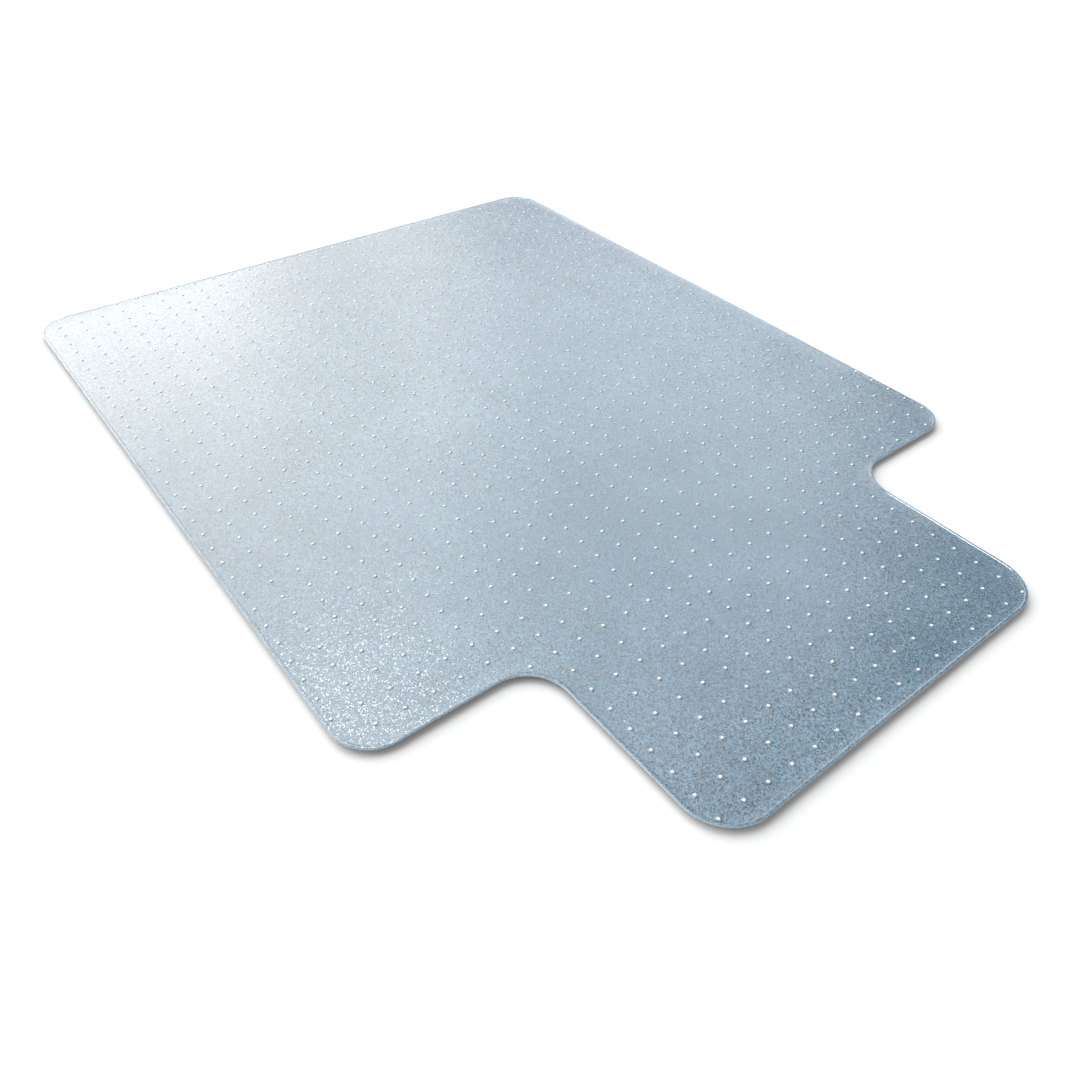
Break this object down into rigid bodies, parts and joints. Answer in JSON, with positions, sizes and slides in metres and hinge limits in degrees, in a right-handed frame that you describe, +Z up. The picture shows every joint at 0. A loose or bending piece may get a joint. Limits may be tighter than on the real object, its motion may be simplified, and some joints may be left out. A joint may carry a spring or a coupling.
{
  "type": "chair mat with lip",
  "caption": "Clear blue-grey vinyl chair mat for carpet: a thin T-shaped sheet with rounded corners, an eased edge, a pebbled top face and pointed cleats underneath.",
  "frame": {"origin": "middle of the mat's outline, on the plane that the cleat tips stand on", "axes": "+Z up out of the face that the chair rolls on, +Y along the mat's length away from the lip, +X across its width to the right as seen from the lip's end"},
  "size_m": [0.9144, 1.2192, 0.0073],
  "materials": {
    "clear_vinyl": "translucent blue-grey vinyl, fine pebble grain on the top face, satin sheen"
  },
  "bodies": {
    "root": {"mat_moulding": "clear_vinyl"}
  },
  "joints": []
}
